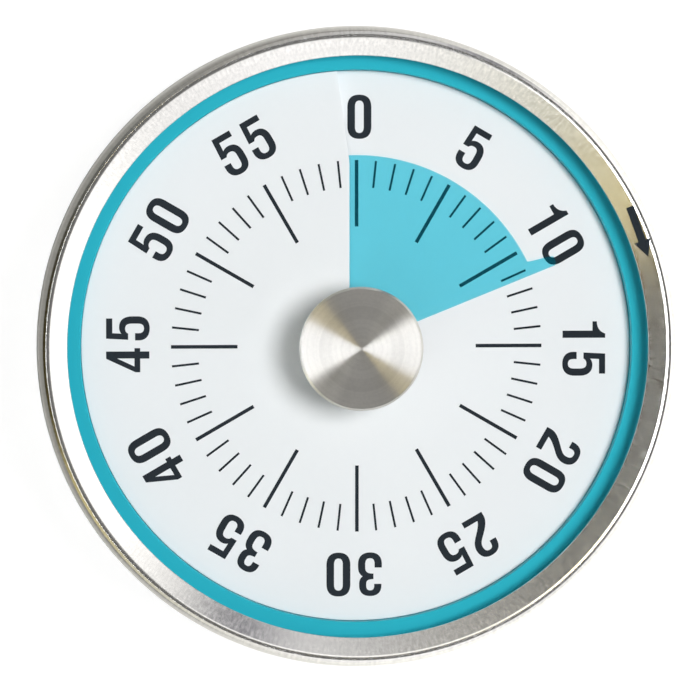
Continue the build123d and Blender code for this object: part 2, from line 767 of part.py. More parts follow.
arm_top = back_plate_bottom - 0.2
arm_bottom = arm_top - lever_thickness
head_at = step(bell_at, bell_radius - bell_wall - hammer_head_radius - hammer_gap, hammer_bearing)
arm_hole = hammer_arbor_radius + press_gap
arm = bar_between(hammer_at, head_at, lever_width, arm_bottom, arm_top)
arm += disc(lever_boss, arm_bottom, arm_top, hammer_at)
save("hammer_arm", arm - disc(arm_hole, arm_bottom - 1, arm_top + 1, hammer_at))
save("hammer_head", disc(hammer_head_radius, arm_bottom - hammer_head_height, arm_bottom, head_at))
lever_z = cam_z + (cam_thickness - lever_thickness) / 2
lever_top = lever_z + lever_thickness
lever = bar_between(hammer_at, lever_nose(), lever_width, lever_z, lever_top)
lever += disc(lever_boss, lever_z, lever_top, hammer_at)
save("hammer_lever", lever - disc(arm_hole, lever_z - 1, lever_top + 1, hammer_at))
hammer_arbor = disc(hammer_arbor_radius, arm_bottom - 0.2, front_plate_bottom - end_shake, hammer_at)
hammer_arbor += disc(train_pivot, front_plate_bottom - end_shake, front_plate_top, hammer_at)
save("hammer_arbor", hammer_arbor)

# frame of the movement
mainspring, eye = make_mainspring()
save("mainspring", mainspring)
anchor_radius = spring_eye - spring_strip - seat_gap
spring_top = back_plate_top + spring_level + spring_width
save("spring_anchor", disc(anchor_radius, back_plate_bottom, spring_top, eye))
save("arbor_bushing", ring(bush_radius, arbor_radius + fit_gap, front_plate_bottom, bush_top))
pivot_hole = train_pivot + fit_gap
pillar_holes = [(at(pillar_circle, a), rivet_radius + press_gap) for a in pillar_angles]
pivots = [(centre, pivot_hole) for centre in (second_at, third_at, escape_at, pallet_at)]
save("front_plate", make_plate(
    front_plate_bottom, pillar_holes + pivots + [((0, 0), bush_radius + press_gap), (hammer_at, pivot_hole)],
    False))
ear_holes = [(at(ear_circle, a), screw_radius + fit_gap) for a in ear_angles]
save("back_plate", make_plate(
    back_plate_bottom, pillar_holes + pivots + ear_holes + [
        ((0, 0), main_pivot_radius + fit_gap), (hammer_at, hammer_arbor_radius + fit_gap),
        (bell_at, bell_tenon_radius + press_gap), (eye, anchor_radius + press_gap)], True))
pillars = []
for angle in pillar_angles:
    spot = at(pillar_circle, angle)
    pillars.append(disc(pillar_radius, back_plate_top, front_plate_bottom, spot)
                   + disc(rivet_radius, back_plate_bottom, front_plate_top, spot))
save("pillars", pillars)
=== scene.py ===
import bmesh
import bpy
import math
from mathutils import Matrix, Vector


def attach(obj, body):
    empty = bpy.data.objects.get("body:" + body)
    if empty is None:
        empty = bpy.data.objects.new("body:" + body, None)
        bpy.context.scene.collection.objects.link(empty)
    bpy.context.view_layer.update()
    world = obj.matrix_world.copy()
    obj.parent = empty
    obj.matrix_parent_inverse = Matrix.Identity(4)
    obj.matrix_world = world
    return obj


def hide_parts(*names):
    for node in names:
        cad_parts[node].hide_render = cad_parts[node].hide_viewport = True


# Mechanical 60-minute kitchen timer: the looks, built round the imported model.
# Sizes below are millimetres unless a note says otherwise; meshes are written in metres.

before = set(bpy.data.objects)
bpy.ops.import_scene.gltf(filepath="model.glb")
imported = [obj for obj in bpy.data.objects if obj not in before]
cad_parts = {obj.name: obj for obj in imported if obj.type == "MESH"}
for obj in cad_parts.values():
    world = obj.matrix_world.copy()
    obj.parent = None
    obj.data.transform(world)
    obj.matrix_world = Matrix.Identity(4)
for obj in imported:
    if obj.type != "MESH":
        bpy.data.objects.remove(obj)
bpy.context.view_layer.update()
scene = bpy.context.scene
scene.view_settings.view_transform = "Standard"
mm = 0.001
weldReach = 1e-7               # metres; corners nearer than this are one
print("frame loaded:", len(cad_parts), "nodes")


def newObject(name, mesh):
    made = bpy.data.objects.new(name, mesh)
    scene.collection.objects.link(made)
    return made


def meshObject(name, points, faces, material, scale=mm):
    mesh = bpy.data.meshes.new(name)
    mesh.from_pydata([Vector(p) * scale for p in points], [], faces)
    mesh.materials.append(material)
    mesh.validate()
    return newObject(name, mesh)


cameraSetup = {
    "distance": 500.0,         # from the face to the lens
    "aim": (-1.09, -0.22, 21.5),
    "toTheLeft": 4.4,          # degrees off the dial's axis, towards -X
    "upwards": 2.7,            # degrees towards the 0 mark
    "lens": 211.9, "sensor": 36.0,
    "clips": (0.01, 10.0),     # metres
}


def placeCamera(setup):
    data = bpy.data.cameras.new("camera")
    data.lens = setup["lens"]
    data.sensor_width = setup["sensor"]
    data.clip_start, data.clip_end = setup["clips"]
    camera = newObject("camera", data)
    left, up = (math.tan(math.radians(setup[k])) for k in ("toTheLeft", "upwards"))
    back = Vector((-left, up, 1.0)).normalized()
    camera.location = (Vector(setup["aim"]) + back * setup["distance"]) * mm
    right = Vector((0, 1, 0)).cross(back).normalized()
    over = back.cross(right)
    camera.rotation_mode = "QUATERNION"
    basis = Matrix((right, over, back)).transposed()
    camera.rotation_quaternion = basis.to_quaternion()
    scene.camera = camera


placeCamera(cameraSetup)
print("camera placed")


# welds a mesh and turns its faces outwards
def recalculate(made):
    work = bmesh.new()
    work.from_mesh(made.data)
    bmesh.ops.remove_doubles(work, verts=work.verts, dist=weldReach)
    bmesh.ops.recalc_face_normals(work, faces=work.faces)
    work.to_mesh(made.data)
    work.free()


def shadeByAngle(made, degrees=30.0):
    mesh = made.data
    work = bmesh.new()
    work.from_mesh(mesh)
    limit = math.radians(degrees)
    for face in work.faces:
        face.smooth = True
    for edge in work.edges:
        edge.smooth = len(edge.link_faces) == 2 and edge.calc_face_angle(0.0) < limit
    work.to_mesh(mesh)
    work.free()


# corners of a profile are (radius, height, rounding); arcs are put in where rounding isn't 0,
# and a point just past each end of an arc keeps its shading off the flats
def roundedProfile(corners, stepAngle=9.0, hold=0.05):
    points = []
    count = len(corners)
    for i, (r, z, rounding) in enumerate(corners):
        here = Vector((r, z))
        if rounding <= 0:
            points.append((r, z))
            continue
        back = Vector(corners[i - 1][:2]) - here
        ahead = Vector(corners[(i + 1) % count][:2]) - here
        before, after = back.normalized(), ahead.normalized()
        between = before.angle(after)
        reach = rounding / math.tan(between / 2)
        centre = here + (before + after).normalized() * rounding / math.sin(between / 2)
        first = here + before * reach - centre
        last = here + after * reach - centre
        turn = first.angle_signed(last)
        steps = max(2, round(abs(math.degrees(turn)) / stepAngle))
        if back.length > reach + 3 * hold:
            points.append(tuple(here + before * (reach + hold)))
        for k in range(steps + 1):
            angle = -turn * k / steps
            c, s = math.cos(angle), math.sin(angle)
            points.append((centre.x + first.x * c - first.y * s, centre.y + first.x * s + first.y * c))
        if ahead.length > reach + 3 * hold:
            points.append(tuple(here + after * (reach + hold)))
    return points


# turns a closed profile about an upright axis
def turnedPiece(name, profile, material, segments=288, smoothAngle=30.0, centre=(0, 0)):
    count = len(profile)
    points, rows = [], []
    for r, z in profile:
        if r < 1e-6:
            rows.append([len(points)] * segments)
            points.append((*centre, z))
            continue
        rows.append(list(range(len(points), len(points) + segments)))
        for k in range(segments):
            a = 2 * math.pi * k / segments
            points.append((centre[0] + r * math.sin(a), centre[1] + r * math.cos(a), z))
    faces = []
    for i in range(count):
        low, high = rows[i], rows[(i + 1) % count]
        if low[0] == low[1] and high[0] == high[1]:
            continue
        for k in range(segments):
            n = (k + 1) % segments
            ring = [low[k], low[n], high[n], high[k]]
            faces.append([v for j, v in enumerate(ring) if v != ring[j - 1]])
    made = meshObject(name, points, faces, material)
    recalculate(made)
    shadeByAngle(made, smoothAngle)
    return made


# puts the meshes of several pieces into the first one
def joinPieces(first, others):
    work = bmesh.new()
    for made in [first] + others:
        work.from_mesh(made.data)
    work.to_mesh(first.data)
    work.free()
    for made in others:
        bpy.data.objects.remove(made)
    return first


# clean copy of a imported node: welded, shaded smooth between its sharp edges
def smoothCopy(nodeName, pieceName, material, weld=2e-6, smoothAngle=30.0):
    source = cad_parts[nodeName]
    made = newObject(pieceName, source.data.copy())
    work = bmesh.new()
    work.from_mesh(made.data)
    bmesh.ops.remove_doubles(work, verts=work.verts, dist=weld)
    bmesh.ops.dissolve_degenerate(work, edges=work.edges, dist=weldReach)
    work.to_mesh(made.data)
    work.free()
    made.data.materials.clear()
    made.data.materials.append(material)
    shadeByAngle(made, smoothAngle)
    made.matrix_world = source.matrix_world
    return made


# puts an object's modifiers into its mesh
def applyModifiers(made):
    evaluated = made.evaluated_get(bpy.context.evaluated_depsgraph_get())
    mesh = bpy.data.meshes.new_from_object(evaluated)
    made.modifiers.clear()
    made.data = mesh


# adds nodes to a tree; an input is named by its label, as Base_Color, or by its number, as i0
class nodeDesk:
    def __init__(self, tree):
        self.tree = tree
        self.tree.nodes.clear()

    def add(self, kind, settings=None, **inputs):
        node = self.tree.nodes.new(kind)
        for key, value in (settings or {}).items():
            setattr(node, key, value)
        for key, value in inputs.items():
            byNumber = key[0] == "i" and key[1:].isdigit()
            socket = node.inputs[int(key[1:]) if byNumber else key.replace("_", " ")]
            if hasattr(value, "is_output"):
                self.tree.links.new(value, socket)
            else:
                socket.default_value = value
        return node

    def math(self, operation, a, b=0.0):
        return self.add("ShaderNodeMath", {"operation": operation}, i0=a, i1=b).outputs[0]

    def ramp(self, value, low, high, toLow=0.0, toHigh=1.0, kind="LINEAR"):
        return self.add("ShaderNodeMapRange", {"interpolation_type": kind}, Value=value, From_Min=low,
                        From_Max=high, To_Min=toLow, To_Max=toHigh).outputs[0]

    def split(self, vector):
        return self.add("ShaderNodeSeparateXYZ", None, i0=vector).outputs

    def combine(self, x=0.0, y=0.0, z=0.0):
        return self.add("ShaderNodeCombineXYZ", None, i0=x, i1=y, i2=z).outputs[0]

    def reach(self, x, y):
        square = self.math("ADD", self.math("MULTIPLY", x, x), self.math("MULTIPLY", y, y))
        return self.math("SQRT", square)

    def mixColour(self, share, a, b):
        return self.add("ShaderNodeMix", {"data_type": "RGBA"}, i0=share, i6=a, i7=b).outputs[2]


class lookDesk(nodeDesk):
    def __init__(self, name):
        self.material = bpy.data.materials.new(name)
        self.material.use_nodes = True
        nodeDesk.__init__(self, self.material.node_tree)
        self.output = self.add("ShaderNodeOutputMaterial")

    def noise(self, vector, scale, detail=2.0):
        return self.add("ShaderNodeTexNoise", None, Vector=vector, Scale=scale, Detail=detail).outputs["Fac"]

    def place(self):
        return self.add("ShaderNodeTexCoord").outputs["Object"]

    def polar(self):
        x, y, z = self.split(self.place())
        return self.reach(x, y), self.math("ARCTAN2", x, y), z

    # two noises in one, the second with its share
    def blend(self, first, second, share):
        return self.math("ADD", self.math("MULTIPLY", first, 1 - share), self.math("MULTIPLY", second, share))

    def bump(self, height, strength, distance):
        return self.add("ShaderNodeBump", None, Height=height, Strength=strength, Distance=distance).outputs[0]

    def principled(self, **inputs):
        return self.add("ShaderNodeBsdfPrincipled", None, **inputs)

    def finish(self, shader):
        self.tree.links.new(shader.outputs[0], self.output.inputs["Surface"])
        return self.material


def colour(r, g, b):
    def linear(v):
        v = v / 255
        return v / 12.92 if v <= 0.04045 else ((v + 0.055) / 1.055) ** 2.4
    return (linear(r), linear(g), linear(b), 1.0)


def darker(tint, share):
    return tuple(c * (1 - share) for c in tint[:3]) + (1.0,)


# where a noise is taken as dark and light: broad patches, two noises in one, fine grain
patchSpan, blendSpan, grainSpan = (0.35, 0.65), (0.38, 0.62), (0.3, 0.7)

caseSteel = {
    "tint": colour(226, 224, 220), "contrast": 0.18,
    "roughness": (0.2, 0.27),
    "streaks": 700.0,          # brushed lines round one turn
    "grooves": 700.0,          # and per metre across them
    "rolled": 900.0,           # rolled lines per metre of height
    "rolledTones": (0.5, 1.0),
    "specks": 2600.0, "speckShare": 0.4,
    "anisotropy": 0.45,
}


def makeBrushedSteel(name, values):
    desk = lookDesk(name)
    radius, angle, z = desk.polar()
    along = desk.math("MULTIPLY", angle, values["streaks"] / (2 * math.pi))
    across = desk.math("ADD", desk.math("MULTIPLY", radius, values["grooves"]),
                       desk.math("MULTIPLY", z, values["grooves"]))
    streaks = desk.noise(desk.combine(along, across), 1.0, 3.0)
    specks = desk.noise(desk.place(), values["specks"])
    shade = desk.blend(streaks, specks, values["speckShare"])
    rough = desk.ramp(shade, *patchSpan, *values["roughness"])
    level = desk.combine(desk.math("MULTIPLY", z, values["rolled"]))
    rolled = desk.ramp(desk.noise(level, 1.0), *patchSpan, *values["rolledTones"])
    shade = desk.math("MULTIPLY", desk.ramp(shade, *blendSpan), rolled)
    tint = desk.mixColour(shade, darker(values["tint"], values["contrast"]), values["tint"])
    return desk.finish(desk.principled(Base_Color=tint, Metallic=1.0, Roughness=rough,
                                       Anisotropic=values["anisotropy"]))


knobMetal = {
    "tint": colour(208, 205, 198), "contrast": 0.1,
    "roughness": (0.285, 0.315),
    "lines": 2600.0,           # turned lines per metre of radius
    "specks": 3500.0, "speckShare": 0.35,
    "anisotropy": 1.0, "anisotropyTurn": 0.25,
}


def makeTurnedMetal(name, values):
    desk = lookDesk(name)
    radius, angle, z = desk.polar()
    place = desk.combine(desk.math("MULTIPLY", radius, values["lines"]), desk.math("MULTIPLY", z, values["lines"]))
    specks = desk.noise(desk.place(), values["specks"])
    shade = desk.blend(desk.noise(place, 1.0), specks, values["speckShare"])
    rough = desk.ramp(shade, *patchSpan, *values["roughness"])
    tint = desk.mixColour(desk.ramp(shade, *blendSpan), darker(values["tint"], values["contrast"]), values["tint"])
    return desk.finish(desk.principled(Base_Color=tint, Metallic=1.0, Roughness=rough,
                                       Anisotropic=values["anisotropy"],
                                       Anisotropic_Rotation=values["anisotropyTurn"]))


plainPlastic = {
    "metallic": 0.0, "specular": 0.5,
    "roughness": 0.35, "spread": (0.85, 1.15),     # the least and the most of it
    "grain": 900.0, "grainDetail": 3.0, "bump": 0.25, "depth": 0.00001,    # depth in metres
    "patches": 60.0, "variation": 0.06,            # their scale, how much darker they get
    "stretch": (1, 1, 1),
}
plainMetal = dict(plainPlastic, metallic=1.0, roughness=0.3, spread=(0.8, 1.25), grain=1200.0, grainDetail=4.0,
                  bump=0.2, patches=100.0, variation=0.12)


def makeGrained(name, tint, plain, **changes):
    values = dict(plain, **changes)
    desk = lookDesk(name)
    place = desk.add("ShaderNodeMapping", None, Vector=desk.place(), Scale=values["stretch"]).outputs[0]
    fine = desk.noise(place, values["grain"], values["grainDetail"])
    broad = desk.ramp(desk.noise(place, values["patches"]), *patchSpan)
    shade = desk.mixColour(broad, darker(tint, values["variation"]), tint)
    rough = desk.ramp(fine, *grainSpan, *(values["roughness"] * share for share in values["spread"]))
    return desk.finish(desk.principled(Base_Color=shade, Metallic=values["metallic"], Roughness=rough,
                                       Specular_IOR_Level=values["specular"],
                                       Normal=desk.bump(fine, values["bump"], values["depth"])))


steelBrushed = makeBrushedSteel("steelBrushed", caseSteel)
knobTurned = makeTurnedMetal("knobTurned", knobMetal)
dialWhite = makeGrained("dialWhite", colour(238, 241, 243), plainPlastic, roughness=0.38, variation=0.015,
                        depth=0.000004)
trayTeal = makeGrained("trayTeal", colour(44, 178, 196), plainPlastic, roughness=0.45, variation=0.03, specular=0.25)
inkBlack = makeGrained("inkBlack", colour(34, 40, 46), plainPlastic, roughness=0.6, grain=2500.0, variation=0.2,
                       specular=0.15)
blackPlastic = makeGrained("blackPlastic", colour(34, 35, 37), plainPlastic, roughness=0.5, grain=1500.0,
                           depth=0.00003)
ferriteGrey = makeGrained("ferriteGrey", colour(62, 60, 60), plainPlastic, roughness=0.6, grain=1800.0,
                          depth=0.00004, variation=0.2)
zincSteel = makeGrained("zincSteel", colour(196, 196, 192), plainMetal, roughness=0.32)
brassPlate = makeGrained("brassPlate", colour(214, 178, 104), plainMetal, stretch=(1, 12, 1))
brassTurned = makeGrained("brassTurned", colour(220, 184, 108), plainMetal, roughness=0.25)
springSteel = makeGrained("springSteel", colour(120, 124, 132), plainMetal, roughness=0.28)
pinionSteel = makeGrained("pinionSteel", colour(176, 178, 182), plainMetal, roughness=0.2)
nickelBell = makeGrained("nickelBell", colour(212, 208, 200), plainMetal, roughness=0.16)
print("materials made")


# a see-through turquoise sheet; its cut edges are paler and less clear, a painted highlight where they catch the
# light
filmLook = {
    "through": (0.66, 0.93, 0.966, 1.0),   # tint of each surface that light crosses
    "body": colour(15, 195, 225), "contrast": 0.06, "clouds": 220.0,
    "share": 0.055,            # of the body in what is seen
    "gloss": 0.22,
    # painted highlight on the cut edges: how far their turquoise goes towards white, and how much of it shows
    "edgePaler": 0.55, "edgeShare": 0.385,
}


def makeFilm(name, values, paler, share):
    desk = lookDesk(name)
    # paler lifts the turquoise towards white; on the cut edges this is a painted highlight
    light = tuple(c + (1 - c) * paler for c in values["body"][:3]) + (1.0,)
    clouds = desk.noise(desk.place(), values["clouds"])
    body = desk.mixColour(clouds, darker(light, values["contrast"]), light)
    clear = desk.add("ShaderNodeBsdfTransparent", None, Color=values["through"])
    sheet = desk.principled(Base_Color=body, Roughness=values["gloss"])
    return desk.finish(desk.add("ShaderNodeMixShader", None, Fac=share, i1=clear.outputs[0], i2=sheet.outputs[0]))


filmTeal = makeFilm("filmTeal", filmLook, 0.0, filmLook["share"])
# the paler edge material is a painted highlight on the film's cut edges
filmEdge = makeFilm("filmEdge", filmLook, filmLook["edgePaler"], filmLook["edgeShare"])


dialShape = {
    "outerRadius": 33.6, "innerRadius": 5.5,
    "height": 20.997,          # top face at the 0 mark
    "pitch": 1.0, "thickness": 0.5,
    "edgeRounding": 0.1, "bevel": 0.06,
    "borderRadius": 27.6,      # outside this the dial is solid down to the tray's ledge
    "borderFoot": 20.297,
    "slitOffset": 0.95,
    "slitBendRadius": 22.52,
    "slitBendReach": 22.5,     # the same place, measured along the slit
    "slitBendAngle": 8.0,
    "startAngle": 0.0, "endAngle": 360.0, "stations": 361, "rings": 56,
}
bendAngle = math.radians(dialShape["slitBendAngle"])
# how far the slit's outer stretch passes the axis by
bendMiss = dialShape["slitBendReach"] * math.sin(bendAngle) - dialShape["slitOffset"] * math.cos(bendAngle)


# clockwise angle of the slit at a radius, in radians
def slitAngle(radius):
    if radius <= dialShape["slitBendRadius"]:
        return -math.asin(min(1.0, dialShape["slitOffset"] / radius))
    return math.asin(bendMiss / radius) - bendAngle


# height of the dial's face at a place in plan
def dialFace(x, y):
    radius = math.hypot(x, y)
    angle = math.atan2(x, y)
    if angle < slitAngle(max(radius, 1.0)):
        angle += 2 * math.pi
    return dialShape["height"] + dialShape["pitch"] * angle / (2 * math.pi)


class treeDesk(nodeDesk):
    def __init__(self, name, lengths, numbers, counts):
        nodeDesk.__init__(self, bpy.data.node_groups.new(name, "GeometryNodeTree"))
        self.lengths = lengths
        kinds = {"NodeSocketFloat": lengths + numbers, "NodeSocketInt": counts, "NodeSocketMaterial": ["Material"]}
        for kind, labels in kinds.items():
            for label in labels:
                self.tree.interface.new_socket(label, in_out="INPUT", socket_type=kind)
        self.tree.interface.new_socket("Geometry", in_out="OUTPUT", socket_type="NodeSocketGeometry")
        self.given = self.tree.nodes.new("NodeGroupInput").outputs

    def between(self, a, b, share):
        return self.math("ADD", a, self.math("MULTIPLY", share, self.math("SUBTRACT", b, a)))

    def finish(self, geometry):
        real = self.add("GeometryNodeRealizeInstances", None, i0=geometry).outputs[0]
        coated = self.add("GeometryNodeSetMaterial", None, Geometry=real, Material=self.given["Material"])
        last = self.tree.nodes.new("NodeGroupOutput")
        self.tree.links.new(coated.outputs[0], last.inputs[0])
        return self

    # runs the tree on an empty mesh; input Slit offset takes the shape's slitOffset, and so on
    def build(self, name, shape, material):
        made = newObject(name, bpy.data.meshes.new(name))
        modifier = made.modifiers.new("build", "NODES")
        modifier.node_group = self.tree
        values = dict(shape, material=material)
        for item in self.tree.interface.items_tree:
            if item.in_out == "INPUT":
                first, *others = item.name.split()
                value = values[first.lower() + "".join(word.title() for word in others)]
                modifier[item.identifier] = value * mm if item.name in self.lengths else value
        applyModifiers(made)
        return made


# a sheet on a screw surface, from one angle to another, its straight sides along the slit
def makeScrewTree():
    desk = treeDesk("screwSheet", [
        "Inner radius", "Outer radius", "Height", "Pitch", "Thickness", "Edge rounding", "Slit offset",
        "Slit bend radius", "Bend miss", "Pointer length", "Border radius", "Border foot"], [
        "Start angle", "End angle", "Angle bias", "Slit bend angle", "Pointer start", "Pointer flank",
        "Pointer corner", "Pointer cut"], ["Stations", "Rings"])
    given, m = desk.given, desk.math
    inner, outer, edge = given["Inner radius"], given["Outer radius"], given["Edge rounding"]

    # 0 to 1 again, with the steps closer together towards 1
    def eased(share, power):
        return m("SUBTRACT", 1.0, m("POWER", m("MAXIMUM", m("SUBTRACT", 1.0, share), 0.0), power))

    # how far a circle of this size falls away at a reach from its middle
    def sag(size, reach):
        square = m("SUBTRACT", m("MULTIPLY", size, size), m("MULTIPLY", reach, reach))
        return m("SUBTRACT", size, m("SQRT", m("MAXIMUM", square, 0.0)))

    # the leaning angle of a line that passes the axis by a distance
    def passing(distance):
        return m("ARCSINE", m("MINIMUM", m("DIVIDE", distance, radius), 1.0))

    grid = desk.add("GeometryNodeMeshGrid", None, Size_X=1.0, Size_Y=1.0,
                    Vertices_X=given["Stations"], Vertices_Y=given["Rings"])
    place = desk.split(desk.add("GeometryNodeInputPosition").outputs[0])
    u = eased(m("ADD", place[0], 0.5), given["Angle bias"])
    v = eased(m("ADD", place[1], 0.5), 2.0)
    base = desk.between(given["Start angle"], given["End angle"], u)
    # the pointer: the sheet's radius grows over a few degrees and its far corner is cut round
    rise = desk.ramp(base, given["Pointer start"], m("ADD", given["Pointer start"], given["Pointer flank"]),
                     kind="SMOOTHSTEP")
    fall = desk.ramp(base, m("SUBTRACT", given["End angle"], given["Pointer corner"]), given["End angle"])
    cut = m("MULTIPLY", sag(1.0, fall), given["Pointer cut"])
    rim = m("ADD", outer, m("MULTIPLY", given["Pointer length"], m("SUBTRACT", rise, cut)))
    radius = desk.between(inner, rim, v)
    near = m("MULTIPLY", passing(given["Slit offset"]), -1.0)
    far = m("SUBTRACT", passing(given["Bend miss"]), m("RADIANS", given["Slit bend angle"]))
    beyond = m("GREATER_THAN", radius, given["Slit bend radius"])
    angle = m("ADD", m("RADIANS", base), desk.between(near, far, beyond))
    climb = m("MULTIPLY", given["Pitch"], m("DIVIDE", angle, 2 * math.pi))
    over = m("MAXIMUM", m("SUBTRACT", radius, m("SUBTRACT", outer, edge)), 0.0)
    droop = sag(edge, m("MINIMUM", over, edge))
    spot = desk.combine(m("MULTIPLY", radius, m("SINE", angle)), m("MULTIPLY", radius, m("COSINE", angle)),
                        m("SUBTRACT", m("ADD", given["Height"], climb), droop))
    face = desk.add("GeometryNodeSetPosition", None, Geometry=grid.outputs[0], Position=spot).outputs[0]
    # the underside is the face pushed down; past the border radius it goes down to the foot
    extruded = desk.add("GeometryNodeExtrudeMesh", {"mode": "FACES"}, Mesh=face, Offset_Scale=1.0, Individual=False,
                        Offset=desk.combine(z=m("MULTIPLY", given["Thickness"], -1.0)))
    under = desk.split(desk.add("GeometryNodeInputPosition").outputs[0])
    footed = m("GREATER_THAN", desk.reach(under[0], under[1]), given["Border radius"])
    lowered = desk.combine(z=m("MULTIPLY", footed, m("SUBTRACT", given["Border foot"], under[2])))
    wall = desk.add("GeometryNodeSetPosition", None, Geometry=extruded.outputs[0],
                    Selection=extruded.outputs["Top"], Offset=lowered)
    both = desk.add("GeometryNodeJoinGeometry")
    desk.tree.links.new(wall.outputs[0], both.inputs[0])
    desk.tree.links.new(face, both.inputs[0])
    return desk.finish(desk.add("GeometryNodeMergeByDistance", None, Geometry=both.outputs[0],
                                Distance=1e-6).outputs[0])


screwTree = makeScrewTree()
farAway = 1000.0               # a radius that no sheet reaches
plainSheet = {                 # no slit, pointer, border or rounding
    "pitch": dialShape["pitch"], "edgeRounding": 0.0, "angleBias": 1.0,
    "slitOffset": 0.0, "slitBendRadius": farAway, "slitBendAngle": 0.0, "bendMiss": 0.0,
    "pointerLength": 0.0, "pointerStart": 0.0, "pointerFlank": 1.0, "pointerCorner": 1.0, "pointerCut": 0.0,
    "borderRadius": farAway, "borderFoot": 0.0,
}


# rounds a sheet's sharp edges and shades it by angle
def finishSheet(made, width, edgeMaterial=None, sharp=50.0, smoothAngle=40.0):
    recalculate(made)
    bevel = made.modifiers.new("edges", "BEVEL")
    bevel.width = width * mm
    bevel.segments = 2
    bevel.limit_method = "ANGLE"
    bevel.angle_limit = math.radians(sharp)
    bevel.harden_normals = False
    if edgeMaterial:
        made.data.materials.append(edgeMaterial)
        bevel.material = 1
    applyModifiers(made)
    shadeByAngle(made, smoothAngle)
    return made


def makeDial(shape):
    made = screwTree.build("dialFace", {**plainSheet, **shape, "bendMiss": bendMiss}, dialWhite)
    return finishSheet(made, shape["bevel"])


filmShape = {
    "outerRadius": 23.3, "innerRadius": 4.2,
    "height": 21.347,          # upper face at the 0 mark
    "thickness": 0.2, "bevel": 0.07,
    "startAngle": -298.0, "endAngle": 68.0,
    "pointerLength": 3.2, "pointerStart": 63.7, "pointerFlank": 2.1, "pointerCorner": 0.7,
    "pointerCut": 0.12,        # share of the pointer's length
    "angleBias": 1.8,          # closer stations towards the pointer
    "stations": 520, "rings": 24,
    "hubRadius": 4.5, "hubBottom": 20.319, "hubTop": 21.836, "hubBore": 1.55,
}


def makeFilmSheet(shape):
    made = screwTree.build("timeFilm", {**plainSheet, **shape}, filmTeal)
    # the bevelled edges take the paler edge material, a painted highlight
    return finishSheet(made, shape["bevel"], filmEdge)


# the moulded hub that the knob's arbor turns
def makeFilmHub(shape):
    return turnedPiece("filmHub", roundedProfile([
        (shape["hubBore"], shape["hubBottom"], 0.05), (shape["hubRadius"], shape["hubBottom"], 0.12),
        (shape["hubRadius"], shape["hubTop"], 0.15), (shape["hubBore"], shape["hubTop"], 0.05)]),
        trayTeal, segments=96)


dialPiece = makeDial(dialShape)
filmPiece = makeFilmSheet(filmShape)
hubPiece = makeFilmHub(filmShape)
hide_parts("dial_plate")
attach(dialPiece, "case")
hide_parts("time_disc")
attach(filmPiece, "disc")
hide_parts("time_disc")
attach(hubPiece, "disc")
print("dial and film built")


caseShape = {
    "backRadius": 38.3, "backHeight": 1.0, "backRound": 0.12,
    "wideRadius": 39.0, "wideHeight": 21.797,
    "rollRadius": 37.7, "rollAcross": 1.14, "rollDown": 2.1,   # a quarter of an ellipse outside the crest
    "rollLeans": (35, 87),     # the stretch of it that is used, degrees off the axis
    "lipRadius": 37.886, "lipRound": 0.05,
    "crestRadius": 37.55, "crestHeight": 26.797, "crestRound": 1.0,
    "hemRadius": 35.3, "hemHeight": 25.397, "hemRound": 0.18, "hemUnderRound": 0.12,
    "wall": 0.6, "steps": 16,
    "cornerGaps": (0.02, 0.1),     # the inner wall's from the bezel's underside, down and inwards
}


def caseProfile(shape):
    steps, wall = shape["steps"], shape["wall"]
    roll = []
    firstLean, lastLean = shape["rollLeans"]
    for k in range(steps, -1, -1):
        lean = math.radians(firstLean + (lastLean - firstLean) * k / steps)
        turn = math.atan2(shape["rollAcross"] * math.sin(lean), shape["rollDown"] * math.cos(lean))
        roll.append((shape["rollRadius"] + shape["rollAcross"] * math.sin(turn),
                     shape["crestHeight"] - shape["rollDown"] * (1 - math.cos(turn)), 0))
    slope = (shape["crestHeight"] - shape["hemHeight"]) / (shape["crestRadius"] - shape["hemRadius"])
    drop = wall * math.hypot(1, slope)

    def underside(radius):
        return shape["hemHeight"] + (radius - shape["hemRadius"]) * slope - drop

    # the inner wall follows one arc from the widest ring up to the bezel's underside
    inward = shape["wideRadius"] - shape["crestRadius"]
    upward = shape["crestHeight"] - shape["wideHeight"]
    arc = (inward ** 2 + upward ** 2) / (2 * inward)
    top = math.asin(upward / arc)
    downGap, inGap = shape["cornerGaps"]
    inner = []
    for k in range(steps + 1):
        r = shape["wideRadius"] - arc + (arc - wall) * math.cos(top * k / steps)
        z = shape["wideHeight"] + (arc - wall) * math.sin(top * k / steps)
        if z < underside(r) - downGap:
            inner.append((r, z, 0))
    meet = inner[-1][0] - inGap
    return roundedProfile([
        (shape["backRadius"], shape["backHeight"], shape["backRound"]),
        (shape["wideRadius"], shape["wideHeight"], 0), *roll,
        (shape["lipRadius"], shape["crestHeight"], shape["lipRound"]),
        (shape["crestRadius"], shape["crestHeight"], shape["crestRound"]),
        (shape["hemRadius"], shape["hemHeight"], shape["hemRound"]),
        (shape["hemRadius"], underside(shape["hemRadius"]), shape["hemUnderRound"]),
        (meet, underside(meet), 0), *reversed(inner),
        (shape["backRadius"] - wall, shape["backHeight"], 0)], stepAngle=6.0)


caseSkin = caseProfile(caseShape)
casePiece = turnedPiece("steelCase", caseSkin, steelBrushed, segments=384)
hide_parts("case_shell")
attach(casePiece, "case")
print("case built")


trayShape = {
    "bore": 2.43, "bottom": 19.03, "floor": 19.98, "pocket": 27.5, "ledge": 20.297,
    "ringInner": 33.64, "ringTop": 22.797, "ringRound": 0.18,
    "wallInner": 35.6, "wallInnerTop": 24.827, "wallOuter": 36.4, "wallOuterTop": 25.325,
    "postRadius": 2.4, "postHole": 1.03, "postOverlap": 0.2,
    "framePosts": (28.0, 11.63, (0, 120, 240)),     # circle, lower end, clockwise angles
    "coverPosts": (33.0, 4.03, (60, 180, 300)),
}


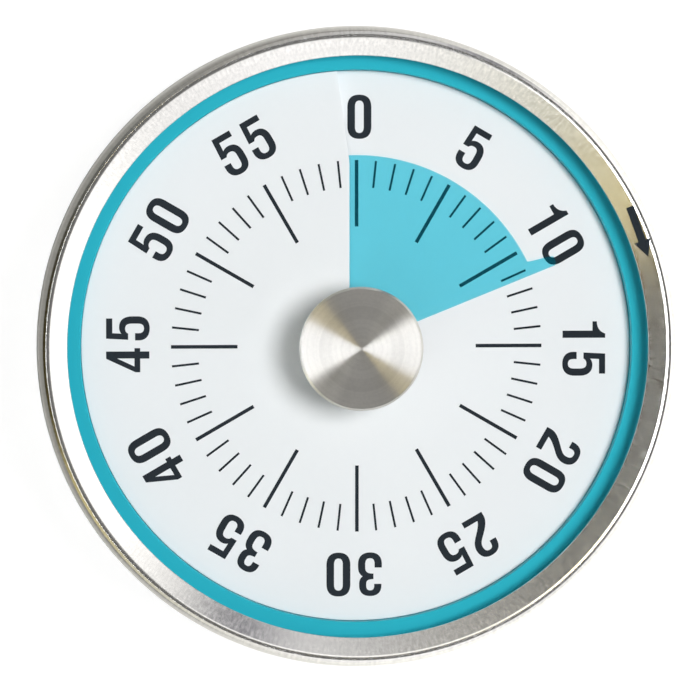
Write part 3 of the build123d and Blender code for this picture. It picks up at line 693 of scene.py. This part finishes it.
def makeTray(shape):
    body = turnedPiece("turquoiseTray", roundedProfile([
        (shape["bore"], shape["bottom"], 0.1), (shape["wallOuter"], shape["bottom"], 0.15),
        (shape["wallOuter"], shape["wallOuterTop"], 0), (shape["wallInner"], shape["wallInnerTop"], 0),
        (shape["wallInner"], shape["ringTop"], 0.15), (shape["ringInner"], shape["ringTop"], shape["ringRound"]),
        (shape["ringInner"], shape["ledge"], 0), (shape["pocket"], shape["ledge"], 0.1),
        (shape["pocket"], shape["floor"], 0.1), (shape["bore"], shape["floor"], 0.1)]), trayTeal, segments=384)
    posts = []
    postTop = shape["bottom"] + shape["postOverlap"]
    for circle, low, angles in (shape["framePosts"], shape["coverPosts"]):
        for degrees in angles:
            turn = math.radians(degrees)
            posts.append(turnedPiece("post", roundedProfile([
                (shape["postHole"], low, 0.1), (shape["postRadius"], low, 0.2),
                (shape["postRadius"], postTop, 0), (shape["postHole"], postTop, 0)]),
                trayTeal, segments=48, centre=(circle * math.sin(turn), circle * math.cos(turn))))
    return joinPieces(body, posts)


trayPiece = makeTray(trayShape)
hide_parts("dial_tray")
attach(trayPiece, "case")
print("tray built")


knobShape = {
    "baseRadius": 6.7, "baseHeight": 23.097,
    "radius": 7.47, "edgeHeight": 28.147,
    "top": 28.997, "chamfer": 0.25,
    "bore": 3.0, "boreTop": 26.8,
    "faceRings": (0.9, 0.5, 0.1),      # shares of the face's radius
}


def makeKnob(shape):
    face, top = shape["radius"] - shape["chamfer"], shape["top"]
    return turnedPiece("knobCap", roundedProfile([
        (shape["bore"], shape["boreTop"], 0), (shape["bore"], shape["baseHeight"], 0.1),
        (shape["baseRadius"], shape["baseHeight"], 0.15), (shape["radius"], shape["edgeHeight"], 0.1),
        (shape["radius"], top - shape["chamfer"], 0.06), (face, top, 0.05),
        *((share * face, top, 0) for share in shape["faceRings"]),
        (0, top, 0), (0, shape["boreTop"], 0)]), knobTurned, segments=256, smoothAngle=35)


knobPiece = makeKnob(knobShape)
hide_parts("knob")
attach(knobPiece, "setting")
print("knob built")


tickShape = {
    "count": 60, "outerRadius": 22.7, "majorInner": 14.6, "minorInner": 19.4,
    "majorWidth": 0.435, "minorWidth": 0.265, "thickness": 0.02, "lift": 0.012,
}


def makeTickTree():
    desk = treeDesk("tickRing", ["Outer radius", "Major inner", "Minor inner", "Major width", "Minor width",
                                 "Thickness", "Height", "Pitch"], [], ["Count"])
    given, m = desk.given, desk.math
    index = desk.add("GeometryNodeInputIndex").outputs[0]
    share = m("DIVIDE", index, given["Count"])
    angle = m("MULTIPLY", share, 2 * math.pi)
    major = m("LESS_THAN", m("MODULO", index, 5.0), 0.5)
    inner = desk.between(given["Minor inner"], given["Major inner"], major)
    width = desk.between(given["Minor width"], given["Major width"], major)
    middle = m("MULTIPLY", m("ADD", inner, given["Outer radius"]), 0.5)
    spot = desk.combine(m("MULTIPLY", middle, m("SINE", angle)), m("MULTIPLY", middle, m("COSINE", angle)),
                        m("ADD", given["Height"], m("MULTIPLY", given["Pitch"], share)))
    points = desk.add("GeometryNodePoints", None, Count=given["Count"], Position=spot).outputs[0]
    size = desk.combine(width, m("SUBTRACT", given["Outer radius"], inner), given["Thickness"])
    bar = desk.add("GeometryNodeMeshCube", None, Size=(1.0, 1.0, 1.0)).outputs[0]
    bars = desk.add("GeometryNodeInstanceOnPoints", None, Points=points, Instance=bar, Scale=size,
                    Rotation=desk.combine(z=m("MULTIPLY", angle, -1.0)))
    return desk.finish(bars.outputs[0])


def makeTicks(shape):
    height = dialShape["height"] + shape["lift"] - shape["thickness"] / 2
    return makeTickTree().build("tickMarks", dict(shape, height=height, pitch=dialShape["pitch"]), inkBlack)


tickPiece = makeTicks(tickShape)
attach(tickPiece, "case")
print("tick marks built")


numeralShape = {
    "baseline": 25.275, "pitch": 3.87, "width": 2.93, "shift": 0.335,
    "narrow": {"1": 0.13},     # figures that are moved to the right in their place
    "lift": 0.012, "thickness": 0.02,
}
# outlines in mm, from the lower left of each figure; a step with six numbers is a curve
figures = {
    "0": [[(0, 1.55), (0, 0.55, 0.45, 0, 1.46, 0), (2.47, 0, 2.93, 0.55, 2.93, 1.55), (2.93, 3.85),
           (2.93, 4.85, 2.47, 5.38, 1.46, 5.38), (0.45, 5.38, 0, 4.85, 0, 3.85)],
          [(0.93, 1.45), (0.93, 3.93), (0.93, 4.4, 1.1, 4.66, 1.46, 4.66), (1.82, 4.66, 2.0, 4.4, 2.0, 3.93),
           (2.0, 1.45), (2.0, 0.98, 1.82, 0.72, 1.46, 0.72), (1.1, 0.72, 0.93, 0.98, 0.93, 1.45)]],
    "1": [[(1.14, 0.03), (1.14, 3.73), (0, 3.73), (0, 4.26), (0.78, 4.27, 1.27, 4.62, 1.5, 5.3), (2.02, 5.3),
           (2.02, 0.03)]],
    "2": [[(0, 0.03), (2.82, 0.03), (2.82, 0.77), (0.98, 0.77), (1.12, 1.25, 1.5, 1.7, 2.12, 2.35),
           (2.62, 2.86, 2.89, 3.3, 2.89, 3.9), (2.89, 4.72, 2.42, 5.32, 1.49, 5.32),
           (0.52, 5.32, 0.06, 4.8, 0.05, 3.95), (0.05, 3.63), (0.9, 3.63), (0.9, 4.0),
           (0.9, 4.4, 1.06, 4.6, 1.45, 4.6), (1.83, 4.6, 2.0, 4.32, 2.0, 3.88), (2.0, 3.5, 1.84, 3.25, 1.5, 2.9),
           (0.72, 2.12, 0, 1.45, 0, 0.62)]],
    "3": [[(0, 1.86), (0, 1.4), (0, 0.5, 0.52, 0, 1.45, 0), (2.38, 0, 2.93, 0.5, 2.93, 1.45), (2.93, 1.75),
           (2.93, 2.3, 2.75, 2.7, 2.36, 2.93), (2.66, 3.14, 2.79, 3.45, 2.79, 3.9), (2.79, 4.05),
           (2.79, 4.87, 2.35, 5.36, 1.43, 5.36), (0.52, 5.36, 0.05, 4.87, 0.05, 4.05), (0.05, 3.87),
           (0.94, 3.87), (0.94, 4.1), (0.94, 4.46, 1.08, 4.66, 1.42, 4.66), (1.77, 4.66, 1.92, 4.45, 1.92, 4.05),
           (1.92, 3.85), (1.92, 3.45, 1.72, 3.3, 1.03, 3.28), (1.03, 2.6), (1.78, 2.6, 2.04, 2.4, 2.04, 1.85),
           (2.04, 1.45), (2.04, 0.95, 1.86, 0.71, 1.46, 0.71), (1.06, 0.71, 0.89, 0.95, 0.89, 1.4), (0.89, 1.86)]],
    "4": [[(1.66, 0.05), (2.53, 0.05), (2.53, 1.16), (2.93, 1.16), (2.93, 1.86), (2.53, 1.86), (2.53, 5.3),
           (1.64, 5.3), (0, 1.75), (0, 1.16), (1.66, 1.16)],
          [(1.68, 1.86), (0.7, 1.86), (1.68, 3.95)]],
    "5": [[(0.08, 2.62), (0.22, 5.3), (2.68, 5.3), (2.68, 4.54), (0.89, 4.54), (0.83, 3.45),
           (1.05, 3.63, 1.3, 3.72, 1.62, 3.72), (2.45, 3.72, 2.93, 3.15, 2.93, 2.15), (2.93, 1.5),
           (2.93, 0.55, 2.42, 0, 1.48, 0), (0.53, 0, 0, 0.5, 0, 1.35), (0, 1.78), (0.88, 1.78), (0.88, 1.35),
           (0.88, 0.92, 1.07, 0.7, 1.47, 0.7), (1.87, 0.7, 2.05, 0.95, 2.05, 1.45), (2.05, 2.15),
           (2.05, 2.72, 1.88, 2.98, 1.45, 2.98), (1.15, 2.98, 0.95, 2.88, 0.83, 2.62)]],
}


# flat filled outline of one figure as points and triangles
def figureMesh(figure):
    curve = bpy.data.curves.new("figure", "CURVE")
    curve.dimensions = "2D"
    curve.fill_mode = "FRONT"
    curve.resolution_u = 10
    for outline in figures[figure]:
        steps = outline[:]
        ends = [step[-2:] for step in steps]
        if ends[0] == ends[-1]:
            ends.pop()
            closing = steps.pop()
        else:
            closing = None
        spline = curve.splines.new("BEZIER")
        spline.bezier_points.add(len(ends) - 1)
        spline.use_cyclic_u = True
        for i, spot in enumerate(ends):
            point = spline.bezier_points[i]
            point.co = (*spot, 0)
            point.handle_left_type = point.handle_right_type = "FREE"
            arriving = steps[i] if i else closing
            leaving = steps[i + 1] if i + 1 < len(steps) else closing
            before, after = ends[i - 1], ends[(i + 1) % len(ends)]
            if arriving and len(arriving) == 6:
                point.handle_left = (*arriving[2:4], 0)
            else:
                point.handle_left = (Vector((*spot, 0)) * 2 + Vector((*before, 0))) / 3
            if leaving and len(leaving) == 6:
                point.handle_right = (*leaving[:2], 0)
            else:
                point.handle_right = (Vector((*spot, 0)) * 2 + Vector((*after, 0))) / 3
    made = newObject("figure", curve)
    mesh = bpy.data.meshes.new_from_object(made.evaluated_get(bpy.context.evaluated_depsgraph_get()))
    points = [tuple(v.co[:2]) for v in mesh.vertices]
    faces = [tuple(p.vertices) for p in mesh.polygons]
    bpy.data.objects.remove(made)
    return points, faces


# a thin printed slab that lies on a surface; height(x, y) gives the surface
def printedSlab(name, points, faces, height, material, lift, thickness):
    work = bmesh.new()
    verts = [work.verts.new((x, y, height(x, y) + lift)) for x, y in points]
    for face in faces:
        work.faces.new([verts[i] for i in face])
    bmesh.ops.remove_doubles(work, verts=work.verts, dist=1e-5)
    bmesh.ops.recalc_face_normals(work, faces=work.faces)
    if sum(f.normal.z for f in work.faces) < 0:
        bmesh.ops.reverse_faces(work, faces=work.faces)
    under = bmesh.ops.duplicate(work, geom=work.verts[:] + work.edges[:] + work.faces[:])
    twins = dict(under["vert_map"])
    lower = {item for item in under["geom"] if isinstance(item, bmesh.types.BMFace)}
    for item in under["geom"]:
        if isinstance(item, bmesh.types.BMVert):
            item.co.z -= thickness
    bmesh.ops.reverse_faces(work, faces=list(lower))
    rims = [e for e in work.edges if len(e.link_faces) == 1 and e.link_faces[0] not in lower]
    for edge in rims:
        a, b = edge.verts
        work.faces.new((a, b, twins[b], twins[a]))
    bmesh.ops.recalc_face_normals(work, faces=work.faces)
    for vert in work.verts:
        vert.co *= mm
    mesh = bpy.data.meshes.new(name)
    work.to_mesh(mesh)
    work.free()
    mesh.materials.append(material)
    return newObject(name, mesh)


def makeNumerals(shape):
    drawn = {figure: figureMesh(figure) for figure in figures}
    points, faces = [], []
    for minute in range(0, 60, 5):
        turn = math.radians(minute * 6)
        word = str(minute)
        start = shape["shift"] - (shape["pitch"] * (len(word) - 1) + shape["width"]) / 2
        for place, figure in enumerate(word):
            flat, fill = drawn[figure]
            first = len(points)
            left = start + place * shape["pitch"] + shape["narrow"].get(figure, 0.0)
            for gx, gy in flat:
                across, out = left + gx, shape["baseline"] + gy
                points.append((out * math.sin(turn) + across * math.cos(turn),
                               out * math.cos(turn) - across * math.sin(turn)))
            faces += [[first + i for i in face] for face in fill]
    return printedSlab("numerals", points, faces, dialFace, inkBlack, shape["lift"], shape["thickness"])


numeralPiece = makeNumerals(numeralShape)
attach(numeralPiece, "case")
print("numerals built")


arrowShape = {
    "angle": 67.6, "radius": 36.73, "lean": 1.8, "length": 6.5, "headLength": 2.1, "headWidth": 1.95,
    "tipWidth": 0.02, "shaftWidth": 0.9, "lift": 0.012, "thickness": 0.02,
    "steps": (40, 24),         # along the shaft and the head, and across
}


# height of the case's outer skin at a radius, from its profile
def skinHeight(radius):
    best = 0.0
    for i in range(len(caseSkin)):
        (r0, z0), (r1, z1) = caseSkin[i - 1], caseSkin[i]
        if min(r0, r1) <= radius <= max(r0, r1) and abs(r1 - r0) > 1e-9:
            best = max(best, z0 + (z1 - z0) * (radius - r0) / (r1 - r0))
    return best


def makeArrow(shape):
    turn = math.radians(shape["angle"])
    lean = math.tan(math.radians(shape["lean"]))
    stepsAlong, stepsAcross = shape["steps"]
    half, head = shape["length"] / 2, shape["headLength"]
    shares = [k / stepsAlong for k in range(stepsAlong + 1)]
    # places along the arrow, with half its width there
    edges = [(-half + (shape["length"] - head) * k, shape["shaftWidth"] / 2) for k in shares]
    edges += [(half - head + head * k, max(shape["headWidth"] * (1 - k), shape["tipWidth"]) / 2) for k in shares]
    points, faces = [], []
    for s, w in edges:
        for j in range(stepsAcross + 1):
            out = shape["radius"] - w + 2 * w * j / stepsAcross - lean * s
            points.append((out * math.sin(turn) + s * math.cos(turn), out * math.cos(turn) - s * math.sin(turn)))
    row = stepsAcross + 1
    for first in range(0, len(points) - row, row):
        faces += [[i, i + 1, i + 1 + row, i + row] for i in range(first, first + stepsAcross)]
    return printedSlab("rimArrow", points, faces, lambda x, y: skinHeight(math.hypot(x, y)), inkBlack,
                       shape["lift"], shape["thickness"])


arrowPiece = makeArrow(arrowShape)
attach(arrowPiece, "case")
print("arrow built")


smoothNodes = {
    "rear_cover": ("rearCover", blackPlastic, "case", "black_plastic"),
    "magnet_ring": ("magnetRing", ferriteGrey, "case", "ferrite"),
    "magnet_keeper": ("magnetKeeper", zincSteel, "case", "zinc_steel"),
    "cover_screws": ("coverScrews", zincSteel, "case", "zinc_steel"),
    "bell": ("bellCup", nickelBell, "case", "nickel_bell"),
}
for nodeName, (pieceName, material, body, slotName) in smoothNodes.items():
    piece = smoothCopy(nodeName, pieceName, material)
    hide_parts(nodeName)
    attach(piece, body)

slotMaterials = {
    "steel_shell": steelBrushed, "dial_white": dialWhite, "tray_teal": trayTeal, "disc_teal": filmTeal,
    "knob_metal": knobTurned, "black_plastic": blackPlastic, "ferrite": ferriteGrey, "zinc_steel": zincSteel,
    "brass_plates": brassPlate, "brass_parts": brassTurned, "spring_steel": springSteel,
    "pinion_steel": pinionSteel, "nickel_bell": nickelBell,
}
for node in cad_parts.values():
    for place in node.material_slots:
        place.material = slotMaterials[place.material.name.split(".")[0]]
print("packed nodes finished")


studio = {
    "floorReach": 3.0,             # metres
    "floorGrain": (400.0, 0.98),   # its scale and its darkest
    "floorSeen": (0.3, 0.85),      # paper and glow as the camera sees them
    "floorMirrored": ((0.42, 1.0), (0.0, 0.6)),    # paper and glow in the metal, each from a painted shaded side to a painted lit side
    "mirrorTint": (1.0, 0.985, 0.94),
    "brightSide": 110,             # clockwise angle of the side painted lit in the metal
    "sideReach": 0.06,             # metres from the middle to a side's full painted light or shade
    "lampPower": 7.65, "lampSize": 0.45, "lampPlace": (0.33, 0.09, 0.94),
    "fillPower": 1.0, "fillSize": 0.9, "fillPlace": (-0.5, -0.35, 0.7), "fillTint": (0.88, 1.0, 0.98),
    "lampAim": (0, 0, 0.02),
}


def makeFloor(values):
    desk = lookDesk("floorPaper")
    path = desk.add("ShaderNodeLightPath").outputs
    direct = desk.math("MAXIMUM", path["Is Camera Ray"], path["Is Transmission Ray"])
    grainScale, grainDark = values["floorGrain"]
    grain = desk.ramp(desk.noise(desk.place(), grainScale), 0.0, 1.0, grainDark, 1.0)
    (seenTone, seenGlow), (mirrorTones, mirrorGlows) = values["floorSeen"], values["floorMirrored"]
    turn = math.radians(values["brightSide"])
    x, y, z = desk.split(desk.place())
    # in the metal the floor is painted lighter towards one side and darker towards the other: painted light and
    # painted shadow on the floor
    side = desk.math("ADD", desk.math("MULTIPLY", x, math.sin(turn)), desk.math("MULTIPLY", y, math.cos(turn)))
    side = desk.ramp(side, -values["sideReach"], values["sideReach"])
    tone = desk.ramp(direct, 0.0, 1.0, desk.ramp(side, 0.0, 1.0, *mirrorTones), seenTone)
    tone = desk.math("MULTIPLY", grain, tone)
    # its glow in the metal also grows towards the lit side, a painted reflection of light
    shine = desk.math("MULTIPLY", path["Is Glossy Ray"], desk.ramp(side, 0.0, 1.0, *mirrorGlows))
    strength = desk.math("MAXIMUM", desk.math("MULTIPLY", direct, seenGlow), shine)
    red, green, blue = (desk.math("MULTIPLY", tone, desk.ramp(direct, 0.0, 1.0, share, 1.0))
                        for share in values["mirrorTint"])
    tint = desk.add("ShaderNodeCombineColor", None, Red=red, Green=green, Blue=blue).outputs[0]
    paper = desk.add("ShaderNodeBsdfDiffuse", None, Color=tint)
    glow = desk.add("ShaderNodeEmission", None, Color=(1, 1, 1, 1), Strength=strength)
    both = desk.add("ShaderNodeAddShader", None, i0=paper.outputs[0], i1=glow.outputs[0])
    reach = values["floorReach"]
    floor = meshObject("floor", [(-reach, -reach, 0), (reach, -reach, 0), (reach, reach, 0), (-reach, reach, 0)],
                       [(0, 1, 2, 3)], desk.finish(both), scale=1.0)


def makeLamp(name, place, size, power, tint=(1, 1, 1)):
    data = bpy.data.lights.new(name, "AREA")
    data.shape = "DISK"
    data.size = size
    data.energy = power
    data.color = tint
    lamp = newObject(name, data)
    lamp.location = place
    lamp.rotation_mode = "QUATERNION"
    lamp.rotation_quaternion = (Vector(studio["lampAim"]) - Vector(place)).to_track_quat("-Z", "Y")
    lamp.visible_glossy = False    # it lights the dial and doesn't show in the metal


room = {
    # tones low in the room, by clockwise angle from below the 30 mark
    "low": [(0, (1.38, 1.38, 1.4)), (15, (1.25, 1.25, 1.22)), (33, (0.91, 0.9, 0.78)), (48, (0.82, 0.74, 0.46)),
            (60, (1.02, 0.87, 0.38)), (67, (0.12, 0.1, 0.04)), (80, (0.03, 0.02, 0.0)), (90, (0.05, 0.04, 0.01)),
            (105, (0.06, 0.055, 0.03)), (120, (0.15, 0.155, 0.14)), (140, (0.24, 0.245, 0.24)),
            (160, (0.5, 0.49, 0.46)), (185, (0.76, 0.76, 0.77)), (200, (1.2, 1.2, 1.22)), (205, (0.2, 0.2, 0.26)),
            (214, (0.12, 0.12, 0.16)), (221, (1.1, 1.1, 1.1)), (240, (1.9, 1.9, 1.9)), (270, (2.0, 2.0, 2.0)),
            (300, (1.75, 1.75, 1.75)), (317, (1.22, 1.22, 1.24)), (332, (1.42, 1.42, 1.45)),
            (345, (1.5, 1.5, 1.53)), (360, (1.38, 1.38, 1.4))],
    "lowEnds": (0.62, 0.8),        # sine of the height where they fade into the top
    "lowSoft": 0.18,               # share of the low tones that lights paint and plastic
    "top": 0.2,
    # windows, seen by metal only: clockwise from and to, angles off the dial's axis, light
    "windows": [(-131, -62, 26, 42, (17.0, 17.4, 18.4)), (-62, -36, 26, 42, (6.2, 5.3, 3.0)),
                (-36, 45, 32, 46, (1.7, 1.7, 1.7)), (-165, -131, 32, 46, (1.7, 1.7, 1.7))],
    "windowSoft": 1.5,             # degrees on each side of a window's edge
}


def makeSurroundings(values):
    world = bpy.data.worlds.new("surroundings")
    scene.world = world
    world.use_nodes = True
    desk = nodeDesk(world.node_tree)
    x, y, z = desk.split(desk.add("ShaderNodeTexCoord").outputs["Generated"])
    angle = desk.math("ARCTAN2", x, y)
    ramp = desk.add("ShaderNodeValToRGB", None, Fac=desk.ramp(angle, -math.pi, math.pi))
    elements = ramp.color_ramp.elements
    for degrees, tint in values["low"]:
        made = elements[0] if degrees == 0 else elements[-1] if degrees == 360 else elements.new(degrees / 360)
        made.color = (*tint, 1)
    high = desk.ramp(z, *values["lowEnds"], kind="SMOOTHSTEP")
    path = desk.add("ShaderNodeLightPath").outputs
    share = desk.ramp(path["Is Glossy Ray"], 0.0, 1.0, values["lowSoft"], 1.0)
    low = desk.add("ShaderNodeVectorMath", {"operation": "SCALE"}, i0=ramp.outputs[0], Scale=share).outputs[0]
    sky = desk.mixColour(high, low, (values["top"],) * 3 + (1,))

    # 1 between a soft rise and a soft fall, 0 outside them
    def band(value, rise, fall):
        return desk.math("MULTIPLY", desk.ramp(value, *rise), desk.ramp(value, *fall, 1.0, 0.0))

    soft = math.radians(values["windowSoft"])
    for first, last, near, far, light in values["windows"]:
        first, last, near, far = (math.radians(v) for v in (first, last, near, far))
        glass = desk.math("MULTIPLY", band(angle, (first - soft, first + soft), (last - soft, last + soft)),
                          band(z, (math.cos(far + soft), math.cos(far - soft)),
                               (math.cos(near + soft), math.cos(near - soft))))
        sky = desk.add("ShaderNodeMix", {"data_type": "RGBA", "blend_type": "ADD", "clamp_factor": False},
                       i0=desk.math("MULTIPLY", glass, path["Is Glossy Ray"]), i6=sky, i7=(*light, 1)).outputs[2]
    lit = desk.add("ShaderNodeBackground", None, Color=sky, Strength=1.0)
    white = desk.add("ShaderNodeBackground", None, Color=(1, 1, 1, 1), Strength=1.0)
    seen = desk.add("ShaderNodeMixShader", None, Fac=path["Is Camera Ray"], i1=lit.outputs[0], i2=white.outputs[0])
    desk.add("ShaderNodeOutputWorld", None, Surface=seen.outputs[0])


makeFloor(studio)
makeLamp("topLamp", studio["lampPlace"], studio["lampSize"], studio["lampPower"])
makeLamp("fillLamp", studio["fillPlace"], studio["fillSize"], studio["fillPower"], studio["fillTint"])
makeSurroundings(room)
print("studio set")
